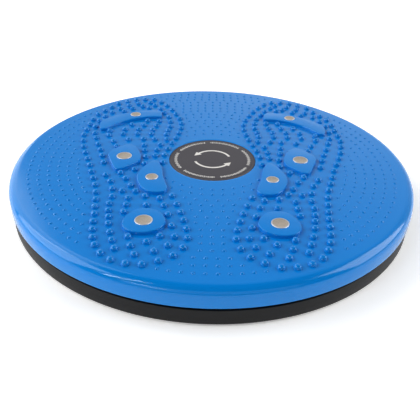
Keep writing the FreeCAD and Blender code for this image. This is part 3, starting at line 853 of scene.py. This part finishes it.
    def build(self) -> None:
        """Builds, dresses and places the top."""
        shell = self.build_shell()
        pads = joined([self.build_pad(poles, side) for poles in PAD_POLES.values() for side in FEET],
                      "pads")
        sockets = self.build_sockets()
        cut(shell, sockets)
        cut(pads, sockets)
        bpy.data.objects.remove(sockets)
        blue = BLUE_ABS.make()
        top = joined([shell, *self.build_ribs()], "top_moulding")
        details = [pads, *self.build_nubs()]
        for piece in (top, *details):
            smooth(piece)
            dress(piece, blue)
        place_on(top, Body.TOP, Slot.BLUE_TOP, "top_disc")
        for piece in details:
            place_on(piece, Body.TOP, Slot.BLUE_TOP)


@dataclass(frozen=True)
class Magnet:
    """One round magnet in a pad."""

    node: str
    x: float
    y: float
    radius: float


def read_magnets() -> list[Magnet]:
    """Reads the place and size of each magnet from its node.

    Returns:
        The magnets in the order of their names.
    """
    magnets = []
    for node in sorted(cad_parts):
        if node.endswith("_magnet"):
            low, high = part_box(node)
            middle = (low + high) / (2 * MM)
            magnets.append(Magnet(node, middle.x, middle.y, (high.x - low.x) / (2 * MM)))
    return magnets


MAGNETS = read_magnets()


@dataclass
class MagnetSet:
    """The eight magnets: turned discs with a face that dips a little and a ground edge, whose lighter
    colour is partly a painted highlight.
    """

    top: float = 25.2
    height: float = 3.0
    bevel: float = 0.35
    edge_width: float = 0.75
    dip: float = 0.06
    dip_slope: float = 0.15

    def build(self) -> None:
        """Builds, dresses and places the magnets."""
        materials = (MAGNET_FACE.make(), MAGNET_EDGE_AND_HIGHLIGHT.make())
        low = self.top - self.height
        floor = self.top - self.dip
        for magnet in MAGNETS:
            wall = magnet.radius
            face = wall - self.edge_width
            rings = [(wall - self.bevel, low), (wall, low + self.bevel), (wall, self.top - self.bevel),
                     (wall - self.bevel, self.top), (face, self.top),
                     (face - self.dip_slope, floor), (0.0, floor)]
            piece = turned(magnet.node + "_disc", rings, MAGNET_SEGMENTS)
            piece.location = (magnet.x * MM, magnet.y * MM, 0)
            settle(piece)
            smooth(piece)
            dress(piece, *materials)
            # The dipped floor gets the first material, and all that was ground gets the second, which
            # is lighter partly as a painted highlight on the edge.
            for polygon in piece.data.polygons:
                on_floor = abs(polygon.center.z - floor * MM) < CLOSE and polygon.normal.z > 0.9
                polygon.material_index = 0 if on_floor else 1
            place_on(piece, Body.TOP, Slot.MAGNET, magnet.node)


@dataclass
class CentreLabel:
    """The printed disc in the middle: a rim line, a dial of ticks and two turn arrows."""

    radius: float = 27.5
    low: float = 22.0
    top: float = 23.0
    edge: float = 0.25
    groove_inset: float = 1.3
    groove_half: float = 0.2
    groove_depth: float = 0.1
    print_rise: float = 0.04
    tick_radius: float = 23.5
    tick_length: float = 2.1
    short_share: float = 0.62
    tick_width: float = 0.62
    run_count: int = 6
    run_ticks: int = 18
    tick_step: float = 2.9
    first_run: float = 8.0
    print_edge: float = 0.01
    arrow_radius: float = 11.5
    arrow_width: float = 1.5
    arrow_span: float = 118.0
    arrow_start: float = 20.0
    head_length: float = 4.6
    head_share: float = 3.1

    def build_disc(self) -> bpy.types.Object:
        """Turns the film-covered disc with a fine groove near its edge.

        Returns:
            The disc.
        """
        groove = self.radius - self.groove_inset
        rings = [(self.radius, self.low), (self.radius, self.top - self.edge),
                 (self.radius - self.edge, self.top), (groove + self.groove_half, self.top),
                 (groove, self.top - self.groove_depth), (groove - self.groove_half, self.top),
                 (groove - 5 * self.groove_half, self.top), (0.0, self.top)]
        return turned("label_disc", rings, LABEL_SEGMENTS)

    def build_ticks(self) -> list[bpy.types.Object]:
        """Makes the dial: runs of short bars round the edge with a gap between each two.

        Returns:
            The bars.
        """
        bars = []
        step = FULL_TURN / self.run_count
        first = math.radians(self.first_run)
        centre = (self.tick_radius, 0.0, self.top)
        for run in range(self.run_count):
            for index in range(self.run_ticks):
                offset = (index - (self.run_ticks - 1) / 2) * math.radians(self.tick_step)
                length = self.tick_length * (self.short_share if index % 2 else 1.0)
                size = (length, self.tick_width, 2 * self.print_rise)
                bars.append(bar("tick", size, centre, first + step * run + offset, self.print_edge))
        return bars

    def build_arrow(self, turn: float) -> bpy.types.Object:
        """Draws one curved arrow as a strip that is spun round the middle and ends in a head.

        Args:
            turn: how far the arrow is turned about the middle, in radians.

        Returns:
            The arrow.
        """
        clear_selection()
        bpy.ops.mesh.primitive_plane_add(size=1, location=(self.arrow_radius * MM, 0, 0))
        arrow = bpy.context.object
        arrow.scale = (self.arrow_width * MM, 0.2 * MM, 1)
        settle(arrow)
        bpy.ops.object.mode_set(mode="EDIT")
        select_edges(arrow, lambda edge: all(vert.co.y > 0 for vert in edge.verts))
        span = math.radians(self.arrow_span)
        bpy.ops.mesh.spin(steps=40, angle=-span, center=(0, 0, 0), axis=(0, 0, 1))
        end = Vector((math.cos(span), math.sin(span), 0)) * self.arrow_radius * MM
        ahead = Vector((-math.sin(span), math.cos(span), 0)) * self.head_length * MM
        bpy.ops.mesh.extrude_region_move()
        bpy.ops.transform.resize(value=(self.head_share,) * 3, center_override=end)
        bpy.ops.mesh.extrude_region_move(TRANSFORM_OT_translate={"value": ahead})
        bpy.ops.mesh.merge(type="CENTER")
        bpy.ops.mesh.select_all(action="SELECT")
        bpy.ops.mesh.remove_doubles(threshold=WELD)
        rise = (0, 0, 2 * self.print_rise * MM)
        bpy.ops.mesh.extrude_region_move(TRANSFORM_OT_translate={"value": rise})
        bpy.ops.mesh.select_all(action="SELECT")
        bpy.ops.mesh.normals_make_consistent(inside=False)
        bpy.ops.object.mode_set(mode="OBJECT")
        lift = Matrix.Translation((0, 0, (self.top - self.print_rise) * MM))
        arrow.data.transform(lift @ Matrix.Rotation(turn, 4, "Z"))
        return arrow

    def build(self) -> None:
        """Builds, dresses and places the label and its print."""
        disc = self.build_disc()
        smooth(disc)
        dress(disc, LABEL_FILM.make())
        place_on(disc, Body.TOP, Slot.LABEL, "centre_label")
        ink = LABEL_INK.make()
        first = math.radians(self.arrow_start)
        arrows = [self.build_arrow(first), self.build_arrow(first + math.pi)]
        for name, parts in (("label_ticks", self.build_ticks()), ("label_arrows", arrows)):
            mark = joined(parts, name)
            dress(mark, ink)
            place_on(mark, Body.TOP, Slot.LABEL)


@dataclass
class BaseDisc:
    """The black base: a turned pan with dust lip, lower race and hub, ribs and foot recesses."""

    radius: float = 124.3
    low: float = 1.0
    edge_round: float = 1.2
    edge_top: float = 10.2
    edge_width: float = 0.6
    groove_floor: float = 9.2
    groove_slope: float = 0.4
    wall_inner: float = 121.3
    lip: tuple[float, float] = (118.9, 121.3)
    lip_top: float = 14.2
    flange_under: float = 8.4
    floor_top: float = 4.0
    race: tuple[float, float] = RACE
    race_face: float = 11.2
    hub: float = HUB
    hub_top: float = 11.8
    bush_bore: float = 5.1
    pocket: Ring = (9.0, 8.8)
    rib_height: float = 4.0
    rib_sink: float = 0.05
    foot_radius: float = 8.1
    foot_depth: float = 1.2

    def build_pan(self) -> bpy.types.Object:
        """Turns the pan from its profile.

        Returns:
            The pan.
        """
        mouth = (self.pocket[0], self.low)
        rings = [
            mouth,
            (self.radius - self.edge_round - 0.6, self.low),
            (self.radius, self.low),
            (self.radius, self.edge_top),
            (self.radius - self.edge_width, self.edge_top),
            (self.radius - self.edge_width - self.groove_slope, self.groove_floor),
            (self.lip[1], self.groove_floor),
            (self.lip[1], self.lip_top),
            (self.lip[0], self.lip_top),
            (self.lip[0], self.flange_under),
            (self.wall_inner, self.flange_under),
            (self.wall_inner, self.floor_top),
            (self.race[1], self.floor_top),
            (self.race[1], self.race_face),
            *track_rings(TRACK, self.race_face),
            (self.race[0], self.race_face),
            (self.race[0], self.floor_top),
            (self.hub, self.floor_top),
            (self.hub, self.hub_top),
            (self.bush_bore, self.hub_top),
            (self.bush_bore, self.pocket[1]),
            self.pocket,
            mouth,
        ]
        pan = turned("base_pan", rings, DISC_SEGMENTS, closed=True)
        # Radius, height, rounding and facets of each moulded edge.
        for edge in ((self.radius, self.low, self.edge_round, 6),
                     (self.radius, self.edge_top, 0.35, 3),
                     (self.lip[1], self.lip_top, 0.4, 2),
                     (self.lip[0], self.lip_top, 0.4, 2)):
            round_ring(pan, *edge)
        return pan

    def build_ribs(self) -> list[bpy.types.Object]:
        """Makes the radial ribs above the floor, inside and outside the race.

        Returns:
            The ribs.
        """
        low = self.floor_top - self.rib_sink
        high = low + self.rib_height
        return [*radial_ribs(self.hub, self.race[0], low, high),
                *radial_ribs(self.race[1], self.wall_inner, low, high)]

    def build(self) -> None:
        """Builds, dresses and places the base."""
        pan = self.build_pan()
        model = turned("recess", [(self.foot_radius, 0.0),
                                  (self.foot_radius, self.low + self.foot_depth)], FOOT_SEGMENTS)
        recesses = scattered(model, foot_places(), 0.0, "recesses")
        cut(pan, recesses)
        bpy.data.objects.remove(recesses)
        base = joined([pan, *self.build_ribs()], "base_moulding")
        smooth(base)
        dress(base, BLACK_PP.make())
        place_on(base, Body.BASE, Slot.BLACK_BASE, "base_disc")


def foot_nodes() -> list[str]:
    """Gives the names of the frame's rubber feet in order."""
    return sorted(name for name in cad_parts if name.startswith("rubber_foot_"))


def foot_places() -> list[Place]:
    """Reads the middle of each rubber foot from its node, in millimetres."""
    middles = [sum(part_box(name), Vector()) / (2 * MM) for name in foot_nodes()]
    return [(middle.x, middle.y) for middle in middles]


@dataclass
class RubberFeet:
    """The six feet: discs with a hollow middle and fine rings that grip the floor."""

    radius: float = 8.0
    height: float = 2.2
    hollow: float = 4.0
    depth: float = 0.4
    ridge: float = 0.55
    groove: float = 0.22
    groove_slope: float = 0.11
    groove_floor: float = 0.165

    def rings(self) -> list[Ring]:
        """Gives the profile of a foot from its top round to its hollow underside.

        Returns:
            Radius and height of each ring.
        """
        grip = []
        radius = self.radius - self.depth
        while radius - 2 * self.ridge > self.hollow + self.depth:
            wall = radius - self.ridge - self.groove_slope
            grip += [(radius, 0.0), (radius - self.ridge, 0.0), (wall, self.groove),
                     (wall - self.groove_floor, self.groove)]
            radius = wall - self.groove_floor - self.groove_slope
        return [(self.radius, self.height), (self.radius, self.depth), *grip,
                (self.hollow + self.depth, 0.0), (self.hollow, self.depth), (0.0, self.depth)]

    def build(self) -> None:
        """Builds, dresses and places the feet."""
        rubber = FOOT_RUBBER.make()
        for node, (x, y) in zip(foot_nodes(), foot_places()):
            foot = turned(node + "_grip", self.rings(), FOOT_SEGMENTS)
            foot.location = (x * MM, y * MM, 0)
            settle(foot)
            smooth(foot)
            dress(foot, rubber)
            place_on(foot, Body.BASE, Slot.FOOT_RUBBER, node)


@dataclass
class InnerWorks:
    """The bearing and the fastening inside, carried by the frame and dressed here."""

    def build(self) -> None:
        """Dresses the nodes that stay."""
        zinc = ZINC_STEEL.make()
        finishes = {
            "ball_retainer": NYLON.make(),
            "bearing_balls": BALL_STEEL.make(),
            "centre_bush": ACETAL.make(),
            "centre_bolt": zinc,
            "lock_nut": zinc,
            "head_washer": zinc,
            "nut_washer": zinc,
        }
        for name, material in finishes.items():
            dress(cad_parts[name], material)
            log.info("%s is carried by the frame in %s", name, material.name)


@dataclass(frozen=True)
class SoftBox:
    """One lamp that faces the disc, placed by compass and height as seen from the disc."""

    name: str
    azimuth: float
    elevation: float
    size: tuple[float, float]
    radiance: float
    roll: float = 0.0
    distance: float = 1.5

    def build(self) -> None:
        """Hangs the lamp with the power that gives its face the wanted radiance."""
        around, above = math.radians(self.azimuth), math.radians(self.elevation)
        place = Vector((math.cos(above) * math.cos(around), math.cos(above) * math.sin(around),
                        math.sin(above))) * self.distance
        clear_selection()
        bpy.ops.object.light_add(type="AREA", location=place)
        light = bpy.context.object
        light.name = self.name
        light.data.shape = "RECTANGLE"
        light.data.size, light.data.size_y = self.size
        light.data.energy = self.radiance * math.pi * self.size[0] * self.size[1]
        aim = (-place).to_track_quat("-Z", "Y").to_matrix()
        light.rotation_euler = (aim @ Matrix.Rotation(math.radians(self.roll), 3, "Z")).to_euler()


@dataclass
class Studio:
    """The pale floor, the soft lights and the camera."""

    eye: tuple[float, float, float] = (-3.2, -305.25, 184.7)
    roll: float = 1.713
    lens: float = 45.89
    shift: tuple[float, float] = (-0.0035, -0.0489)
    sensor: float = 36.0
    floor_side: float = 8.0
    floor_colour: str = "#f9f9f8"
    floor_glow: float = 0.32
    contrast: float = 0.85
    paper_way: tuple[float, float, float] = (0.25, 0.97, 0.0)
    paper_light: tuple[tuple[float, float], ...] = (
        (0.0, 0.03), (0.35, 0.05), (0.6, 0.4), (0.78, 0.52), (0.88, 0.78), (0.96, 1.1))
    lamps: tuple[SoftBox, ...] = (
        SoftBox("left_box", 180.0, 30.0, (1.2, 1.35), 3.45),
        SoftBox("back_left_box", 138.0, 30.0, (1.0, 1.7), 1.5),
        SoftBox("right_box", 2.0, 29.0, (1.15, 1.15), 3.95),
        SoftBox("front_box", -90.0, 24.0, (2.6, 0.75), 0.65),
        SoftBox("upright_tube", -140.0, 43.0, (0.05, 0.85), 21.0, -12.0),
        SoftBox("level_tube", -119.0, 26.0, (0.47, 0.045), 21.0),
    )

    def build_floor(self) -> None:
        """Lays the floor under the disc: white paper that is lit a little from below."""
        clear_selection()
        bpy.ops.mesh.primitive_plane_add(size=self.floor_side, location=(0, 0, 0))
        floor = bpy.context.object
        floor.name = "studio_floor"
        material = bpy.data.materials.new("studio_paper")
        material.use_nodes = True
        shader = material.node_tree.nodes["Principled BSDF"]
        shader.inputs["Base Color"].default_value = linear(self.floor_colour)
        shader.inputs["Roughness"].default_value = 0.9
        shader.inputs["Emission Color"].default_value = grey(1.0)
        shader.inputs["Emission Strength"].default_value = self.floor_glow
        dress(floor, material)

    def build_sky(self) -> None:
        """Makes the room: white paper behind, and dark overhead and behind the camera."""
        world = bpy.data.worlds.new("studio_air")
        world.use_nodes = True
        tree = world.node_tree
        way = add_node(tree, "ShaderNodeTexCoord").outputs["Generated"]
        behind = add_node(tree, "ShaderNodeVectorMath", {"operation": "DOT_PRODUCT"},
                          {0: way, 1: self.paper_way})
        stops = [(share, grey(light)) for share, light in self.paper_light]
        paper = add_node(tree, "ShaderNodeValToRGB", {"stops": stops},
                         {"Fac": behind.outputs["Value"]})
        tree.links.new(paper.outputs["Color"], tree.nodes["Background"].inputs["Color"])
        bpy.context.scene.world = world

    def build_camera(self) -> None:
        """Sets the camera up where the photo was taken from."""
        clear_selection()
        place = Vector(self.eye) * MM
        bpy.ops.object.camera_add(location=place)
        camera = bpy.context.object
        look = (-place).to_track_quat("-Z", "Y").to_matrix()
        turn = look @ Matrix.Rotation(math.radians(self.roll), 3, "Z")
        camera.rotation_euler = turn.to_euler()
        camera.data.lens = self.lens
        camera.data.sensor_width = self.sensor
        camera.data.shift_x, camera.data.shift_y = self.shift
        camera.data.clip_start = 0.01
        bpy.context.scene.camera = camera

    def build(self) -> None:
        """Builds floor, sky, lights and camera, and sets the photo's contrast."""
        self.build_floor()
        self.build_sky()
        for lamp in self.lamps:
            lamp.build()
        self.build_camera()
        view = bpy.context.scene.view_settings
        view.view_transform = "Standard"
        view.gamma = self.contrast


def main() -> None:
    """Builds every sub-assembly in order."""
    logging.basicConfig(level=logging.INFO, format="%(message)s")
    for assembly in (BaseDisc(), RubberFeet(), InnerWorks(), TopDisc(), MagnetSet(), CentreLabel(),
                     Studio()):
        log.info("building %s", type(assembly).__name__)
        assembly.build()


if __name__ == "__main__":
    main()
